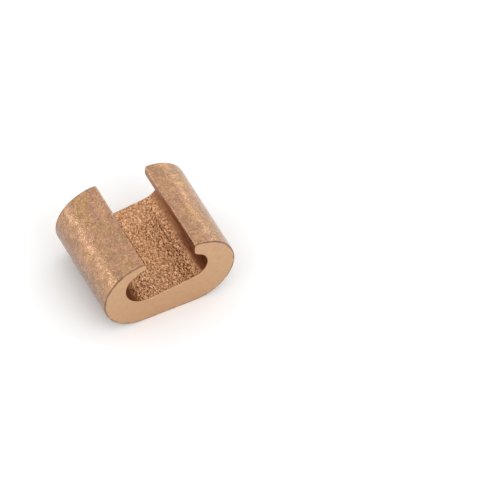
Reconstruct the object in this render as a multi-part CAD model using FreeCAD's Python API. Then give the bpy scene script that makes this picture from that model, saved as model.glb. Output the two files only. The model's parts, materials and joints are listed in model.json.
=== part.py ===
import FreeCAD, Part
import math
import os

# C-shaped compression tap connector: one length of extruded copper, sawn off square.
# X runs across the C, Y along the wires and Z up. The flat back rests on Z = 0 and
# the mouth opens upwards. Sizes are in millimetres.

# Overall block
body_width = 24.0
body_height = 14.7
body_length = 18.7

# Wire grooves: the large one for the run wire is at -X, the small one for the tap wire at +X
run_groove_radius = 4.05
tap_groove_radius = 3.0
groove_spacing = 8.0
groove_centre_height = 9.2

# Mouth between the two lips, measured from the middle of the body
thin_lip_distance = 4.3
thick_lip_distance = 4.6

# Roundings
thin_lip_tip_round = 0.7
thin_lip_inner_round = 0.25
thick_lip_tip_round = 0.5
thick_lip_inner_round = 1.2
sawn_edge_round = 0.15

# Both sides of the body are half-round over its full height
side_radius = body_height / 2
side_centre_distance = body_width / 2 - side_radius
groove_centre_distance = groove_spacing / 2

# The floor touches both grooves from below, so it leans towards the larger one
floor_lean = math.asin((run_groove_radius - tap_groove_radius) / groove_spacing)


def lip_outline(side, groove_radius, lip_distance, tip_round, inner_round, floor_angle):
    """One side of the C, from the flat back over its lip and round its groove to the floor.

    side is -1 for -X and 1 for +X. Angles are turned from the direction of that side.
    """

    def place(x, z):
        return FreeCAD.Vector(side * x, -body_length / 2, z)

    def arc(centre_x, centre_z, radius, start_angle, end_angle):
        angles = (start_angle, (start_angle + end_angle) / 2, end_angle)
        points = [
            place(centre_x + radius * math.cos(angle), centre_z + radius * math.sin(angle))
            for angle in angles
        ]
        return Part.Arc(*points).toShape()

    # The tip round sits inside the half-round side and touches the mouth
    tip_x = lip_distance + tip_round
    tip_angle = math.acos((tip_x - side_centre_distance) / (side_radius - tip_round))
    tip_z = side_radius + (side_radius - tip_round) * math.sin(tip_angle)

    # The inner round rolls from the mouth over into the groove
    roll_x = lip_distance + inner_round
    roll_angle = math.acos((roll_x - groove_centre_distance) / (groove_radius + inner_round))
    roll_z = groove_centre_height + (groove_radius + inner_round) * math.sin(roll_angle)

    mouth_wall = Part.LineSegment(place(lip_distance, tip_z), place(lip_distance, roll_z))
    return [
        arc(side_centre_distance, side_radius, side_radius, -math.pi / 2, tip_angle),
        arc(tip_x, tip_z, tip_round, tip_angle, math.pi),
        mouth_wall.toShape(),
        arc(roll_x, roll_z, inner_round, math.pi, math.pi + roll_angle),
        arc(groove_centre_distance, groove_centre_height, groove_radius, roll_angle, floor_angle),
    ]


def section_outline():
    """The closed C: two lips joined by the flat back and the leaning floor."""
    run_side = lip_outline(
        -1,
        run_groove_radius,
        thin_lip_distance,
        thin_lip_tip_round,
        thin_lip_inner_round,
        -math.pi / 2 - floor_lean,
    )
    tap_side = lip_outline(
        1,
        tap_groove_radius,
        thick_lip_distance,
        thick_lip_tip_round,
        thick_lip_inner_round,
        -math.pi / 2 + floor_lean,
    )
    back_ends = (run_side[0].firstVertex().Point, tap_side[0].firstVertex().Point)
    floor_ends = (run_side[-1].lastVertex().Point, tap_side[-1].lastVertex().Point)
    back = Part.LineSegment(*back_ends).toShape()
    floor = Part.LineSegment(*floor_ends).toShape()
    edges = run_side + [floor] + tap_side + [back]
    return Part.Wire(Part.sortEdges(edges)[0])


def edges_of_ends(solid):
    """The edges of the two sawn end faces."""
    return [
        edge
        for edge in solid.Edges
        if math.isclose(abs(edge.BoundBox.YMin), body_length / 2, abs_tol=0.001)
        and edge.BoundBox.YLength < 0.001
    ]


section = Part.Face(section_outline())
extrusion = section.extrude(FreeCAD.Vector(0, body_length, 0))
connector = extrusion.makeFillet(sawn_edge_round, edges_of_ends(extrusion))

os.makedirs("parts", exist_ok=True)
connector.exportStep("parts/connector_body.step")

box = connector.optimalBoundingBox()
print("size", round(box.XLength, 3), round(box.YLength, 3), round(box.ZLength, 3))
print("volume", round(connector.Volume, 1), "valid", connector.isValid())
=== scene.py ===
import json
import math

import bmesh
import bpy
from mathutils import Matrix, Vector, noise


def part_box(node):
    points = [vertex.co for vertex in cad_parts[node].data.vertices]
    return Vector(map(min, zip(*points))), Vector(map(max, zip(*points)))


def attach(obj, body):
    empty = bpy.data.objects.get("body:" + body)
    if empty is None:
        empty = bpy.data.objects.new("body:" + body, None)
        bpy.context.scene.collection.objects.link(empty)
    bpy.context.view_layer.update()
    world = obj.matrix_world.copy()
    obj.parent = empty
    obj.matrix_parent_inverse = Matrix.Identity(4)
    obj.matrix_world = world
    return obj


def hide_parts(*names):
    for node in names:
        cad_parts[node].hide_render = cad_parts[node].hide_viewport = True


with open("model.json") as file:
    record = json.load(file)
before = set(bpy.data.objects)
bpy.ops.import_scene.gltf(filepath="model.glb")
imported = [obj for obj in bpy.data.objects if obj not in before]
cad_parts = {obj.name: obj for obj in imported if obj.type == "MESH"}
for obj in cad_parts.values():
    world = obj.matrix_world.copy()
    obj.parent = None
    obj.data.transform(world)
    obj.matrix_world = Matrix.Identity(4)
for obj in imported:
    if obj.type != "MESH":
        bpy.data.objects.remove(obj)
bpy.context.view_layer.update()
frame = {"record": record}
mm = 0.001

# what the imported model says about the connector
bodyLow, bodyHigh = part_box("connector_body")
bodyCentre = (bodyLow + bodyHigh) / 2
sideRadius = (bodyHigh.z - bodyLow.z) / 2       # both sides are half-round over the full height
sideCentre = bodyHigh.x - sideRadius
mounts = {mount["name"]: mount for mount in frame["record"]["mounts"]}


def mountPlace(name):
    return Vector(mounts[name]["pos_m"]), mounts[name]["dims"]["r_mm"] * mm


# Connector mesh

connector = {
    "thinLip": {"distance": 4.3 * mm, "tipRound": 0.7 * mm, "innerRound": 0.25 * mm},
    "thickLip": {"distance": 4.6 * mm, "tipRound": 0.5 * mm, "innerRound": 1.2 * mm},
    "outerSpacing": 0.35 * mm,
    "cavitySpacing": 0.12 * mm,
    "rowSpacing": 0.12 * mm,
    "leastArcSteps": 3,
    "sawnEdgeRound": 0.1 * mm,              # less than a row
    "sawnEdgeSteps": 3,
    "sawnFacing": 0.85,                     # the outer edge is drawn copper until it faces this far along
    "endFacing": 0.1,                       # a point that faces less far sideways is on a sawn end
    "gritSize": 0.45 * mm,
    "gritDepth": 0.085 * mm,
    "gritStretch": Vector((1, 0.68, 1)),    # the grains are longer along the wires
    "gritOnWalls": 0.25,                    # share of its depth on the walls and deep under the lips
    "gritFacing": (0.1, 0.7),               # how far up a wall faces where the grit starts and is full
    "gritEnds": (5.8 * mm, 6.7 * mm),       # from the middle, where it fades out under the lips
    "gritSlant": 0.5 * mm,                  # it ends this much sooner at the front, and later at the back
    "gritWander": 1.2 * mm,                 # how unevenly it ends
    "gritPastLip": 0.75 * mm,               # how far it runs out over the tip of the thin lip at most
    "gritPastLevel": 0.35,                  # the higher this is, the more of the tip it covers
    "gritPatchSize": 1.6 * mm,              # size of the uneven stretches along its edges
    "lumpShare": 0.6,
    "pitShare": 1.1,
    "pitLevel": 0.45,
    "pitsPerGrain": 1.3,
    "skinWaveSize": 3.5 * mm,
    "skinWaveDepth": 0.02 * mm,
    "skinWaveStretch": Vector((1, 0.35, 1)),
    "seed": Vector((17.3, 4.1, 9.6)),
}

drawnFaces, cavityFaces, sawnFaces = 0, 1, 2      # material slots, in the order of the finishes below
frontView = (0, -1, 0)      # turns about this axis run anticlockwise as seen from the front


def sweepPen(bm, pen, centre, angle, stretch):
    # turns the last point of the outline round a centre and leaves an arc behind it
    spacing, inside = stretch
    arcLength = abs(angle) * (pen.co - centre).length
    steps = max(connector["leastArcSteps"], math.ceil(arcLength / spacing))
    before = set(bm.verts)
    turned = bmesh.ops.spin(bm, geom=[pen], cent=centre, axis=frontView, angle=angle, steps=steps)
    return markNew(bm, before, turned, inside)


def slidePen(bm, pen, end, stretch):
    # pulls the last point of the outline straight to a new place
    spacing, inside = stretch
    path = end - pen.co
    steps = max(1, math.ceil(path.length / spacing))
    before = set(bm.verts)
    pulled = bmesh.ops.spin(bm, geom=[pen], axis=frontView, dvec=path / steps, angle=0, steps=steps)
    return markNew(bm, before, pulled, inside)


def markNew(bm, before, result, inside):
    # notes which points line the cavity, and hands back the new end of the outline
    layer = bm.verts.layers.float["inside"]
    for vert in bm.verts:
        if vert not in before:
            vert[layer] = inside
    return [item for item in result["geom_last"] if isinstance(item, bmesh.types.BMVert)][0]


def liningCavity(verts, inside):
    # the layer holds 1 on the points that line the cavity and 0 on the others
    return all(vert[inside] > 0.5 for vert in verts)


def lipNumbers(lip, grooveName):
    # where the two roundings of a lip touch the side, the mouth and the groove
    groove, grooveRadius = mountPlace(grooveName)
    tipX = lip["distance"] + lip["tipRound"]
    rollX = lip["distance"] + lip["innerRound"]
    tipAngle = math.acos((tipX - sideCentre) / (sideRadius - lip["tipRound"]))
    rollAngle = math.acos((rollX - abs(groove.x)) / (grooveRadius + lip["innerRound"]))
    return {
        "tipAngle": tipAngle,
        "tipX": tipX,
        "tipZ": sideRadius + (sideRadius - lip["tipRound"]) * math.sin(tipAngle),
        "rollAngle": rollAngle,
        "rollX": rollX,
        "rollZ": groove.z + (grooveRadius + lip["innerRound"]) * math.sin(rollAngle),
        "mouthX": lip["distance"],
    }


def drawSection(bm, y):
    # one pen goes round the C anticlockwise, from the left end of the flat back
    skin = (connector["outerSpacing"], 0)       # spacing of the points, and 1 where they line the cavity
    lipTip = (connector["cavitySpacing"], 0)
    cavity = (connector["cavitySpacing"], 1)
    thin = lipNumbers(connector["thinLip"], "run_groove")
    thick = lipNumbers(connector["thickLip"], "tap_groove")
    runGroove, runRadius = mountPlace("run_groove")
    tapGroove, tapRadius = mountPlace("tap_groove")
    lean = math.asin((runRadius - tapRadius) / (tapGroove.x - runGroove.x))
    quarter = math.pi / 2

    def at(x, z):
        return Vector((x, y, z))

    pen = bm.verts.new(at(-sideCentre, 0))
    start = pen
    pen = slidePen(bm, pen, at(sideCentre, 0), skin)
    pen = sweepPen(bm, pen, at(sideCentre, sideRadius), quarter + thick["tipAngle"], skin)
    pen = sweepPen(bm, pen, at(thick["tipX"], thick["tipZ"]), math.pi - thick["tipAngle"], lipTip)
    pen = slidePen(bm, pen, at(thick["mouthX"], thick["rollZ"]), cavity)
    pen = sweepPen(bm, pen, at(thick["rollX"], thick["rollZ"]), thick["rollAngle"], cavity)
    pen = sweepPen(bm, pen, at(tapGroove.x, tapGroove.z), lean - quarter - thick["rollAngle"], cavity)
    floorEnd = at(runGroove.x + runRadius * math.sin(lean), runGroove.z - runRadius * math.cos(lean))
    pen = slidePen(bm, pen, floorEnd, cavity)
    pen = sweepPen(bm, pen, at(runGroove.x, runGroove.z), -quarter - lean - thin["rollAngle"], cavity)
    pen = sweepPen(bm, pen, at(-thin["rollX"], thin["rollZ"]), thin["rollAngle"], cavity)
    pen = slidePen(bm, pen, at(-thin["mouthX"], thin["tipZ"]), cavity)
    pen = sweepPen(bm, pen, at(-thin["tipX"], thin["tipZ"]), math.pi - thin["tipAngle"], lipTip)
    pen = sweepPen(bm, pen, at(-sideCentre, sideRadius), quarter + thin["tipAngle"], skin)
    bmesh.ops.pointmerge(bm, verts=[start, pen], merge_co=start.co)


def patchiness(place):
    # -1 to 1, mostly near 0, and much the same within a patch
    return noise.noise(place / connector["gritPatchSize"] + connector["seed"])


def gritRunsOver(place):
    # the grit runs unevenly out over the tip of the thin lip
    lip = connector["thinLip"]
    reach = connector["gritPastLip"] * min(1, patchiness(place) + connector["gritPastLevel"])
    onTip = place.z > bodyHigh.z - lip["tipRound"] and place.x < 0
    return onTip and -place.x - lip["distance"] < reach


def pullLength(bm):
    # draws the outline out along the wires, row by row
    length = bodyHigh.y - bodyLow.y
    rows = round(length / connector["rowSpacing"])
    outline = bm.verts[:] + bm.edges[:]
    bmesh.ops.spin(bm, geom=outline, axis=frontView, dvec=(0, length / rows, 0), angle=0, steps=rows)
    inside = bm.verts.layers.float["inside"]
    for face in bm.faces:
        face.smooth = True
        gritty = liningCavity(face.verts, inside) or gritRunsOver(face.calc_center_median())
        face.material_index = cavityFaces if gritty else drawnFaces


def capEnds(bm):
    # closes both sawn ends and rounds their edges over
    rims = [edge for edge in bm.edges if edge.is_boundary]
    for cap in bmesh.ops.holes_fill(bm, edges=rims, sides=0)["faces"]:
        cap.material_index = sawnFaces
    bmesh.ops.recalc_face_normals(bm, faces=bm.faces)
    bmesh.ops.bevel(
        bm, geom=rims, offset=connector["sawnEdgeRound"], offset_type="OFFSET", affect="EDGES",
        segments=connector["sawnEdgeSteps"], profile=0.5, material=-1, clamp_overlap=False,
    )
    caps = [face for face in bm.faces if len(face.verts) > 4]       # all others have four corners at most
    for cap in caps:
        cap.smooth = False
    bmesh.ops.triangulate(bm, faces=caps)
    inside = bm.verts.layers.float["inside"]
    for face in bm.faces:
        if abs(face.calc_center_median().y) > bodyHigh.y - connector["sawnEdgeRound"]:
            sawn = liningCavity(face.verts, inside) or abs(face.normal.y) > connector["sawnFacing"]
            face.material_index = sawnFaces if sawn else drawnFaces
    print("sawn ends closed:", len(caps))


def gritHeight(place):
    # uneven pits and lumps, about -1 to 1
    at = place * connector["gritStretch"] / connector["gritSize"] + connector["seed"]
    nearestPit = noise.voronoi(at * connector["pitsPerGrain"])[0][0]
    lump = connector["lumpShare"] * noise.noise(at)
    return lump + connector["pitShare"] * (connector["pitLevel"] - nearestPit)


def gritShare(vert):
    # 1 on the floor between the lips, less on the walls and deep under the lips
    startsAt, fullAt = connector["gritFacing"]
    fadesAt, endsAt = connector["gritEnds"]
    facingUp = (vert.normal.z - startsAt) / (fullAt - startsAt)
    slant = connector["gritSlant"] * vert.co.y / bodyHigh.y
    reach = endsAt + slant + connector["gritWander"] * patchiness(vert.co) - abs(vert.co.x)
    clear = min(1, max(0, min(facingUp, reach / (endsAt - fadesAt))))
    return connector["gritOnWalls"] + (1 - connector["gritOnWalls"]) * clear


def roughenWalls(bm):
    # the cavity gets its grit, the outside a faint unevenness along the draw
    bm.normal_update()
    bites = bm.verts.layers.float.new("grit")
    inside = bm.verts.layers.float["inside"]
    for vert in bm.verts:
        walls = [face for face in vert.link_faces if face.material_index != sawnFaces]
        aside = Vector((vert.normal.x, 0, vert.normal.z))
        if not walls or aside.length < connector["endFacing"]:
            continue
        share = sum(face.material_index == cavityFaces for face in walls) / len(walls)
        at = vert.co * connector["skinWaveStretch"] / connector["skinWaveSize"] + connector["seed"]
        sink = connector["skinWaveDepth"] * max(0, (1 + noise.noise(at)) / 2) * (1 - share)
        vert[bites] = share * gritShare(vert)
        rise = connector["gritDepth"] * vert[bites] * gritHeight(vert.co)
        if not liningCavity([vert], inside):
            rise = min(rise, 0)     # rubbed flat on the lip
        vert.co += aside.normalized() * (rise - sink)


def buildConnector():
    bm = bmesh.new()
    bm.verts.layers.float.new("inside")
    drawSection(bm, bodyLow.y)
    pullLength(bm)
    capEnds(bm)
    roughenWalls(bm)
    mesh = bpy.data.meshes.new("connectorFinished")
    bm.to_mesh(mesh)
    bm.free()
    piece = bpy.data.objects.new("connectorFinished", mesh)
    bpy.context.scene.collection.objects.link(piece)
    return piece


piece = buildConnector()
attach(piece, "root")
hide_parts("connector_body")
print("connector built:", len(piece.data.polygons), "faces")


# Shared copper effects, as node groups

noiseShift = Vector((1, -0.7, 1.3))     # the way in which the noises are moved apart
noises = {                              # how far each is moved, and its detail
    "golden": (3, 4),
    "rosy": (11, 5),
    "speckle": (7, 3),
    "streak": (41, 4),
    "cloud": (61, 3),
    "waver": (31, 3),
    "grain": (19, 2),
    "fineGrain": (23, 2),
    "line": (83, 3),
    "blotch": (71, 4),
    "grit": (53, 1),
}
noiseRoughness = 0.6
usualRange = (0.3, 0.7)                 # the values of a noise that show
ranges = {"golden": (0.42, 0.62), "rosy": (0.45, 0.65), "blotch": (0.35, 0.65)}
perMm = {"streak": 2.6, "cloud": 0.9, "waver": 0.8, "line": 5.5, "blotch": 0.9}
patchStretch = (1, 0.45, 1)             # patches are longer along the draw
wearAndShade = {                                # reaches and heights in mm from the middle of the back, for the wear and the painted shade
    "mouthReach": (7.2, 4.6),           # the outside of the lips is rubbed towards the mouth
    "mouthHeight": (9.0, 13.0),
    "lowShadeHeight": (11.5, 7.0),          # painted shade: the sides are darker lower down
    "waverSize": (0.4, 1.3),            # narrowest and widest place of a dark line, against its width
    "edgeFade": (1.0, 0.6),             # how far from its edge it starts and is full, against its width
}
# painted shade in the pits and painted glints on the crests, as levels of the grain noise
gritLevels = {"pitShade": (0.49, 0.33), "crestGlint": (0.52, 0.68)}
fineGrain = {"scale": 2.7, "share": 0.4}


def newGroup(name, inputs, outputs):
    # inputs and outputs give the names of the sockets of each kind
    group = bpy.data.node_groups.new(name, "ShaderNodeTree")
    for side, kinds in (("INPUT", inputs), ("OUTPUT", outputs)):
        for kind, socketNames in kinds.items():
            for socketName in socketNames:
                group.interface.new_socket(socketName, in_out=side, socket_type="NodeSocket" + kind)
    return group, group.nodes.new("NodeGroupInput").outputs, group.nodes.new("NodeGroupOutput").inputs


def addNode(tree, kind, **settings):
    node = tree.nodes.new(kind)
    for name, value in settings.items():
        if name in node.inputs:
            node.inputs[name].default_value = value
        else:
            setattr(node, name, value)
    return node


def feed(tree, socket, value):
    # a socket takes either a number or colour, or what another node puts out
    if isinstance(value, bpy.types.NodeSocket):
        tree.links.new(value, socket)
    else:
        socket.default_value = value


def noiseNode(tree, place, scale, name):
    shift, detail = noises[name]
    moved = addNode(tree, "ShaderNodeMapping", Location=noiseShift * shift)
    tree.links.new(place, moved.inputs["Vector"])
    result = addNode(tree, "ShaderNodeTexNoise", Detail=detail, Roughness=noiseRoughness)
    tree.links.new(moved.outputs["Vector"], result.inputs["Vector"])
    feed(tree, result.inputs["Scale"], scale)
    return result.outputs["Fac"]


def spread(tree, value, low, high, toLow=0.0, toHigh=1.0):
    node = addNode(tree, "ShaderNodeMapRange", interpolation_type="SMOOTHSTEP")
    for name, number in (("From Min", low), ("From Max", high), ("To Min", toLow), ("To Max", toHigh)):
        feed(tree, node.inputs[name], number)
    tree.links.new(value, node.inputs["Value"])
    return node.outputs["Result"]


def patchNoise(tree, place, scale, name):
    # 0 to 1 in soft patches
    return spread(tree, noiseNode(tree, place, scale, name), *ranges.get(name, usualRange))


def mixColours(tree, share, first, second):
    node = addNode(tree, "ShaderNodeMix", data_type="RGBA")
    firstColour, secondColour = [socket for socket in node.inputs if socket.type == "RGBA"]
    feed(tree, node.inputs["Factor"], share)
    feed(tree, firstColour, first)
    feed(tree, secondColour, second)
    return [socket for socket in node.outputs if socket.type == "RGBA"][0]


def combine(tree, operation, first, second=None):
    # some operations take only one value
    node = addNode(tree, "ShaderNodeMath", operation=operation)
    feed(tree, node.inputs[0], first)
    if second is not None:
        feed(tree, node.inputs[1], second)
    return node.outputs["Value"]


def separate(tree, place):
    parts = addNode(tree, "ShaderNodeSeparateXYZ")
    tree.links.new(place, parts.inputs["Vector"])
    return parts.outputs


def plusMinus(tree, share, amount):
    # 1 minus the amount at share 0, 1 plus the amount at share 1
    least = combine(tree, "SUBTRACT", 1.0, amount)
    most = combine(tree, "ADD", 1.0, amount)
    return spread(tree, share, 0.0, 1.0, least, most)


def mouthMask(group, parts):
    # 1 on the outside of the lips next to the mouth, 0 elsewhere
    fromMiddle = combine(group, "ABSOLUTE", parts["X"])
    nearMouth = spread(group, fromMiddle, *wearAndShade["mouthReach"])
    high = spread(group, parts["Z"], *wearAndShade["mouthHeight"])
    return combine(group, "MULTIPLY", nearMouth, high)


def unevenLine(group, place, fromEdge, width):
    # 1 on an uneven line along an edge, 0 elsewhere
    waver = noiseNode(group, place, perMm["waver"], "waver")
    waver = spread(group, waver, *usualRange, *wearAndShade["waverSize"])
    reach = combine(group, "MULTIPLY", width, waver)
    return spread(group, combine(group, "DIVIDE", fromEdge, reach), *wearAndShade["edgeFade"])


def makeCopperTone():
    # golden and rosy patches over the base colour, with wear at the mouth, painted shade low on the sides
    # and along the sawn ends, speckle, streaks and clouds
    group, given, out = newGroup(
        "copperTone",
        {
            "Vector": ("place", "linePlace"),
            "Color": ("base", "golden", "rosy", "rubbed", "lowShade", "edge"),
            "Float": (
                "patchesPerMm", "specklesPerMm", "speckle", "streak", "cloud",
                "halfLength", "edgeWidth", "edgeShade",
            ),
        },
        {"Color": ("colour",)},
    )
    place = given["place"]
    parts = separate(group, place)
    drawn = addNode(group, "ShaderNodeMapping", Scale=patchStretch)
    group.links.new(place, drawn.inputs["Vector"])
    fromMiddle = combine(group, "ABSOLUTE", parts["Y"])
    fromEnd = combine(group, "SUBTRACT", given["halfLength"], fromMiddle)
    # painted shade: a dark uneven line along the sawn ends
    edge = unevenLine(group, place, fromEnd, given["edgeWidth"])
    masks = {
        "golden": patchNoise(group, drawn.outputs["Vector"], given["patchesPerMm"], "golden"),
        "rosy": patchNoise(group, drawn.outputs["Vector"], given["patchesPerMm"], "rosy"),
        "rubbed": mouthMask(group, parts),
        # painted shade: darker lower down the sides
        "lowShade": spread(group, parts["Z"], *wearAndShade["lowShadeHeight"]),
        "edge": combine(group, "MULTIPLY", edge, given["edgeShade"]),
    }
    colour = given["base"]
    for name, mask in masks.items():
        colour = mixColours(group, mask, colour, given[name])
    speckle = patchNoise(group, place, given["specklesPerMm"], "speckle")
    streak = patchNoise(group, given["linePlace"], perMm["streak"], "streak")
    cloud = patchNoise(group, place, perMm["cloud"], "cloud")
    shade = plusMinus(group, speckle, given["speckle"])
    for name, share in (("streak", streak), ("cloud", cloud)):
        shade = combine(group, "MULTIPLY", shade, plusMinus(group, share, given[name]))
    scaled = addNode(group, "ShaderNodeVectorMath", operation="SCALE")
    group.links.new(colour, scaled.inputs[0])
    group.links.new(shade, scaled.inputs["Scale"])
    group.links.new(scaled.outputs["Vector"], out["colour"])
    return group


def makeGritTone():
    # painted shade in the pits and painted glints on the crests of the grit, with tarnish and painted
    # shade under the lips and where there is no grit
    group, given, out = newGroup(
        "gritTone",
        {
            "Vector": ("place",),
            "Color": ("colour", "pitShade", "crestGlint"),
            "Float": (
                "grit", "gritPerMm", "tarnishShadeStart", "tarnishShadeFull", "tarnishAndShade",
                "roughness", "tarnishRoughness",
            ),
        },
        {"Color": ("colour",), "Float": ("height", "roughness")},
    )
    fromMiddle = combine(group, "ABSOLUTE", separate(group, given["place"])["X"])
    beyond = spread(group, fromMiddle, given["tarnishShadeStart"], given["tarnishShadeFull"])
    stretched = addNode(group, "ShaderNodeMapping", Scale=connector["gritStretch"])
    group.links.new(given["place"], stretched.inputs["Vector"])
    grains = noiseNode(group, stretched.outputs["Vector"], given["gritPerMm"], "grit")
    # painted shade in the pits and painted glints on the crests
    shadedPits = combine(group, "MULTIPLY", spread(group, grains, *gritLevels["pitShade"]), given["grit"])
    glintingCrests = combine(group, "MULTIPLY", spread(group, grains, *gritLevels["crestGlint"]), given["grit"])
    bare = combine(group, "SUBTRACT", 1.0, given["grit"])
    # partly tarnish, partly painted shade: darker under the lips and where there is no grit
    tarnishedAndShaded = combine(group, "MULTIPLY", combine(group, "MAXIMUM", beyond, bare), given["tarnishAndShade"])
    colour = mixColours(group, glintingCrests, given["colour"], given["crestGlint"])
    colour = mixColours(group, combine(group, "MAXIMUM", shadedPits, tarnishedAndShaded), colour, given["pitShade"])
    roughness = spread(group, tarnishedAndShaded, 0.0, 1.0, given["roughness"], given["tarnishRoughness"])
    group.links.new(colour, out["colour"])
    group.links.new(combine(group, "MULTIPLY", grains, given["grit"]), out["height"])
    group.links.new(roughness, out["roughness"])
    return group


def makePaintedOutlineTone():
    # painted shade: a dark uneven line round the outline of the sawn ends
    group, given, out = newGroup(
        "paintedOutlineTone",
        {
            "Vector": ("place",),
            "Color": ("colour", "outlineShade"),
            "Float": ("sideCentre", "sideRadius", "outlineShadeWidth", "outlineShadeStrength"),
        },
        {"Color": ("colour",)},
    )
    parts = separate(group, given["place"])
    fromMiddle = combine(group, "ABSOLUTE", parts["X"])
    aside = combine(group, "MAXIMUM", combine(group, "SUBTRACT", fromMiddle, given["sideCentre"]), 0.0)
    above = combine(group, "SUBTRACT", parts["Z"], given["sideRadius"])
    squares = [combine(group, "MULTIPLY", length, length) for length in (aside, above)]
    fromCentre = combine(group, "SQRT", combine(group, "ADD", *squares))
    fromRim = combine(group, "SUBTRACT", given["sideRadius"], fromCentre)
    line = unevenLine(group, given["place"], fromRim, given["outlineShadeWidth"])
    line = combine(group, "MULTIPLY", line, given["outlineShadeStrength"])
    group.links.new(mixColours(group, line, given["colour"], given["outlineShade"]), out["colour"])
    return group


def makeMetalGrain():
    # small bumps of two sizes with drawing or sawing lines, and a roughness that changes with them
    group, given, out = newGroup(
        "metalGrain",
        {
            "Vector": ("place", "linePlace"),
            "Float": ("lines", "grainsPerMm", "roughness", "unevenness", "blotches"),
        },
        {"Float": ("height", "roughness")},
    )
    place = given["place"]
    finePerMm = combine(group, "MULTIPLY", given["grainsPerMm"], fineGrain["scale"])
    grain = noiseNode(group, place, given["grainsPerMm"], "grain")
    fine = combine(group, "MULTIPLY", noiseNode(group, place, finePerMm, "fineGrain"), fineGrain["share"])
    lines = noiseNode(group, given["linePlace"], perMm["line"], "line")
    lines = combine(group, "MULTIPLY", lines, given["lines"])
    height = combine(group, "ADD", combine(group, "ADD", grain, fine), lines)
    grainShare = spread(group, grain, *usualRange)
    blotch = patchNoise(group, place, perMm["blotch"], "blotch")
    roughness = given["roughness"]
    for name, share in (("unevenness", grainShare), ("blotches", blotch)):
        roughness = combine(group, "MULTIPLY", roughness, plusMinus(group, share, given[name]))
    group.links.new(height, out["height"])
    group.links.new(roughness, out["roughness"])
    return group


copperTone = makeCopperTone()
gritTone = makeGritTone()
paintedOutlineTone = makePaintedOutlineTone()
metalGrain = makeMetalGrain()


# Copper finishes

finishes = {
    "drawnCopper": {
        "base": (0.43, 0.247, 0.134, 1),
        "golden": (0.487, 0.281, 0.134, 1),
        "rosy": (0.45, 0.243, 0.149, 1),
        "rubbed": (0.463, 0.256, 0.148, 1),
        # painted shade low on the sides
        "lowShade": (0.345, 0.202, 0.127, 1),
        # painted shade along the sawn ends
        "edge": (0.22, 0.10, 0.055, 1),
        "patchesPerMm": 0.5,
        "specklesPerMm": 4.0,
        "speckle": 0.27,
        "streak": 0.05,
        "cloud": 0.15,
        "edgeWidth": 0.24,              # mm
        "edgeShade": 0.85,
        "lineRun": (1, 22, 1),          # how far a line runs each way
        "lineTurn": 0,                  # degrees
        "lines": 0.7,
        "grainsPerMm": 4.0,
        "roughness": 0.36,
        "unevenness": 0.33,
        "blotches": 0.14,
        "bumpDepth": 0.03,              # mm
        "coat": 0.3,
    },
    "grittyCopper": {
        "base": (0.52, 0.265, 0.13, 1),
        "golden": (0.56, 0.295, 0.145, 1),
        "rosy": (0.52, 0.26, 0.145, 1),
        # painted shade along the ends
        "edge": (0.30, 0.13, 0.06, 1),
        # painted shade in the grit's pits and painted glints on its crests
        "pitShade": (0.28, 0.107, 0.043, 1),
        "crestGlint": (0.84, 0.51, 0.30, 1),
        "gritPerMm": 3.9,
        # partly tarnish, partly painted shade under the lips
        "tarnishAndShade": 0.9,
        "tarnishRoughness": 0.5,
        "tarnishFrom": 0.5,             # mm under the lip
        "tarnishShort": 1.6,            # mm before the end of the groove
        "patchesPerMm": 0.6,
        "specklesPerMm": 3.0,
        "speckle": 0.1,
        "streak": 0.0,
        "cloud": 0.14,
        "edgeWidth": 0.3,
        "edgeShade": 0.4,
        "lineRun": (1, 22, 1),
        "lineTurn": 0,
        "lines": 0.0,
        "grainsPerMm": 4.5,
        "roughness": 0.27,
        "unevenness": 0.3,
        "blotches": 0.1,
        "bumpDepth": 0.13,
        "coat": 0.1,
    },
    "sawnCopper": {
        "base": (0.60, 0.375, 0.217, 1),
        "golden": (0.62, 0.395, 0.21, 1),
        "rosy": (0.60, 0.362, 0.236, 1),
        # painted shade: a dark line round the outline of the sawn ends
        "outlineShade": (0.20, 0.11, 0.06, 1),
        "outlineShadeWidth": 0.3,                # mm
        "outlineShadeStrength": 0.75,
        "patchesPerMm": 0.8,
        "specklesPerMm": 4.0,
        "speckle": 0.03,
        "streak": 0.02,
        "cloud": 0.02,
        "edgeWidth": 0.3,
        "edgeShade": 0.0,               # the painted outline shade takes its place
        "lineRun": (40, 1, 0.5),
        "lineTurn": 7,
        "lines": 4.0,
        "grainsPerMm": 6.0,
        "roughness": 0.46,
        "unevenness": 0.1,
        "blotches": 0.08,
        "bumpDepth": 0.012,
        "coat": 0.0,
    },
}
coatRoughness = 0.24


def placeGroup(tree, group, finish, links):
    # a shared effect with one finish's own values; a colour that the finish lacks is its base
    node = addNode(tree, "ShaderNodeGroup", node_tree=group)
    for socket in node.inputs:
        if socket.name in finish:
            socket.default_value = finish[socket.name]
        elif socket.type == "RGBA":
            socket.default_value = finish["base"]
    for socketName, source in links.items():
        tree.links.new(source, node.inputs[socketName])
    return node


def addPlaces(tree, finish):
    # where a point is, in millimetres, and the same drawn out and turned as the lines run
    inMillimetres = addNode(tree, "ShaderNodeMapping", Scale=(1 / mm, 1 / mm, 1 / mm))
    tree.links.new(addNode(tree, "ShaderNodeTexCoord").outputs["Object"], inMillimetres.inputs["Vector"])
    turn = (0, math.radians(finish["lineTurn"]), 0)
    run = finish["lineRun"]
    lined = addNode(tree, "ShaderNodeMapping", vector_type="TEXTURE", Rotation=turn, Scale=run)
    tree.links.new(inMillimetres.outputs["Vector"], lined.inputs["Vector"])
    return {"place": inMillimetres.outputs["Vector"], "linePlace": lined.outputs["Vector"]}


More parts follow.
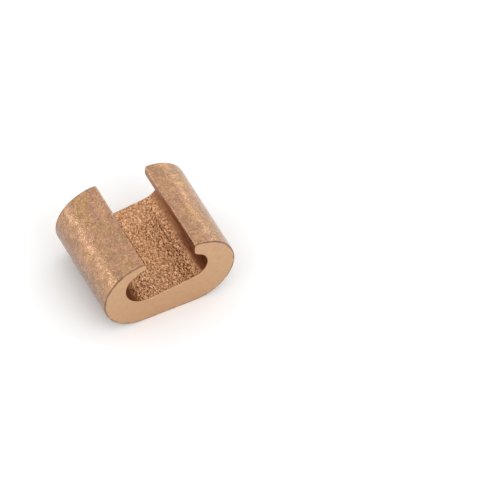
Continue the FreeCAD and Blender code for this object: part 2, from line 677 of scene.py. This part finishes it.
def addGritTone(tree, finish, links):
    runGroove, runRadius = mountPlace("run_groove")
    grit = addNode(tree, "ShaderNodeAttribute", attribute_name="grit").outputs["Fac"]
    tone = placeGroup(tree, gritTone, finish, {**links, "grit": grit})
    lipEdge = connector["thickLip"]["distance"] / mm
    grooveEnd = (runRadius - runGroove.x) / mm
    tone.inputs["tarnishShadeStart"].default_value = lipEdge + finish["tarnishFrom"]
    tone.inputs["tarnishShadeFull"].default_value = grooveEnd - finish["tarnishShort"]
    return tone.outputs["colour"], tone.outputs["height"], tone.outputs["roughness"]


def addPaintedOutlineTone(tree, finish, links):
    tone = placeGroup(tree, paintedOutlineTone, finish, links)
    tone.inputs["sideCentre"].default_value = sideCentre / mm
    tone.inputs["sideRadius"].default_value = sideRadius / mm
    return tone.outputs["colour"]


def makeFinish(name):
    finish = finishes[name]
    material = bpy.data.materials.new(name)
    material.use_nodes = True
    tree = material.node_tree
    shader = tree.nodes["Principled BSDF"]
    shader.inputs["Metallic"].default_value = 1
    shader.inputs["Coat Weight"].default_value = finish["coat"]
    shader.inputs["Coat Roughness"].default_value = coatRoughness
    places = addPlaces(tree, finish)
    tone = placeGroup(tree, copperTone, finish, places)
    tone.inputs["halfLength"].default_value = bodyHigh.y / mm
    grain = placeGroup(tree, metalGrain, finish, places)
    colour, height, roughness = tone.outputs["colour"], grain.outputs["height"], grain.outputs["roughness"]
    if "pitShade" in finish:
        links = {"place": places["place"], "colour": colour, "roughness": roughness}
        colour, height, roughness = addGritTone(tree, finish, links)
    if "outlineShade" in finish:
        colour = addPaintedOutlineTone(tree, finish, {"place": places["place"], "colour": colour})
    bump = addNode(tree, "ShaderNodeBump", Distance=finish["bumpDepth"] * mm)
    tree.links.new(height, bump.inputs["Height"])
    tree.links.new(colour, shader.inputs["Base Color"])
    tree.links.new(roughness, shader.inputs["Roughness"])
    tree.links.new(bump.outputs["Normal"], shader.inputs["Normal"])
    return material


for name in finishes:
    piece.data.materials.append(makeFinish(name))
print("copper finishes made:", len(piece.data.materials))


# Camera, floor and light

photoView = {
    "azimuth": -26.3,               # degrees round from the front
    "elevation": 51.7,              # degrees above the horizon
    "distance": 1.12,
    "spanAcross": 83.07 * mm,       # width of the frame at the connector
    "framePixels": 500,
    "connectorPixel": (144.8, 243.0),
    "sensorWidth": 36,
    "nearest": 0.01,
    "farthest": 20,
}


def addCamera():
    azimuth = math.radians(photoView["azimuth"])
    elevation = math.radians(photoView["elevation"])
    back = Vector((
        math.sin(azimuth) * math.cos(elevation),
        -math.cos(azimuth) * math.cos(elevation),
        math.sin(elevation),
    ))
    right = Vector((math.cos(azimuth), math.sin(azimuth), 0))
    up = back.cross(right)
    pixel = photoView["spanAcross"] / photoView["framePixels"]
    halfFrame = photoView["framePixels"] / 2
    aside = (halfFrame - photoView["connectorPixel"][0]) * pixel
    above = (photoView["connectorPixel"][1] - halfFrame) * pixel
    aim = bodyCentre + right * aside + up * above
    data = bpy.data.cameras.new("photoCamera")
    data.sensor_width = photoView["sensorWidth"]
    data.lens = data.sensor_width * photoView["distance"] / photoView["spanAcross"]
    data.clip_start = photoView["nearest"]
    data.clip_end = photoView["farthest"]
    camera = bpy.data.objects.new("photoCamera", data)
    camera.location = bodyCentre + back * photoView["distance"]
    level = Matrix((right, up, back)).transposed().to_quaternion()
    turn = (-back).rotation_difference(aim - camera.location)       # no roll as the view moves aside
    camera.rotation_euler = (turn @ level).to_euler()
    bpy.context.scene.collection.objects.link(camera)
    bpy.context.scene.camera = camera


studio = {
    "floorSize": 6.0,
    "floorColour": (0.96, 0.96, 0.96, 1),
    "floorRoughness": 0.9,
    "skyColour": (1, 1, 1, 1),
    "horizonBrightness": 0.6,
    "ceilingBrightness": 1.1,
    "ceilingFrom": 0.55,            # height on the sky, as a share, where the full brightness begins
    "softboxes": {                  # direction from the connector, distance, side, brightness
        "leftBox": ((-0.819, 0.556, 0.143), 0.6, 0.12, 4.2),
        "rightBox": ((0.805, 0.556, 0.207), 0.6, 0.18, 1.45),
        "frontBox": ((0.2, -0.75, 0.6), 0.7, 0.5, 1.3),
    },
}


def addFloor():
    bm = bmesh.new()
    bmesh.ops.create_grid(bm, x_segments=1, y_segments=1, size=studio["floorSize"] / 2)
    mesh = bpy.data.meshes.new("studioFloor")
    bm.to_mesh(mesh)
    bm.free()
    floor = bpy.data.objects.new("studioFloor", mesh)
    bpy.context.scene.collection.objects.link(floor)
    material = bpy.data.materials.new("paleFloor")
    material.use_nodes = True
    shader = material.node_tree.nodes["Principled BSDF"]
    shader.inputs["Base Color"].default_value = studio["floorColour"]
    shader.inputs["Roughness"].default_value = studio["floorRoughness"]
    mesh.materials.append(material)


def addWorld():
    world = bpy.data.worlds.new("studioWorld")
    world.use_nodes = True
    tree = world.node_tree
    parts = separate(tree, addNode(tree, "ShaderNodeTexCoord").outputs["Generated"])
    brightness = spread(
        tree, parts["Z"], 0.0, studio["ceilingFrom"],
        studio["horizonBrightness"], studio["ceilingBrightness"],
    )
    background = tree.nodes["Background"]
    background.inputs["Color"].default_value = studio["skyColour"]
    tree.links.new(brightness, background.inputs["Strength"])
    bpy.context.scene.world = world


def addSoftboxes():
    for name, (direction, distance, side, brightness) in studio["softboxes"].items():
        data = bpy.data.lights.new(name, "AREA")
        data.size = side
        data.energy = brightness * math.pi * side * side        # equally bright at any size
        lamp = bpy.data.objects.new(name, data)
        towards = Vector(direction).normalized()
        lamp.location = bodyCentre + towards * distance
        lamp.rotation_euler = (-towards).to_track_quat("-Z", "Y").to_euler()
        bpy.context.scene.collection.objects.link(lamp)


addCamera()
addFloor()
addWorld()
addSoftboxes()
bpy.context.scene.view_settings.view_transform = "Standard"
print("camera, floor and light placed")
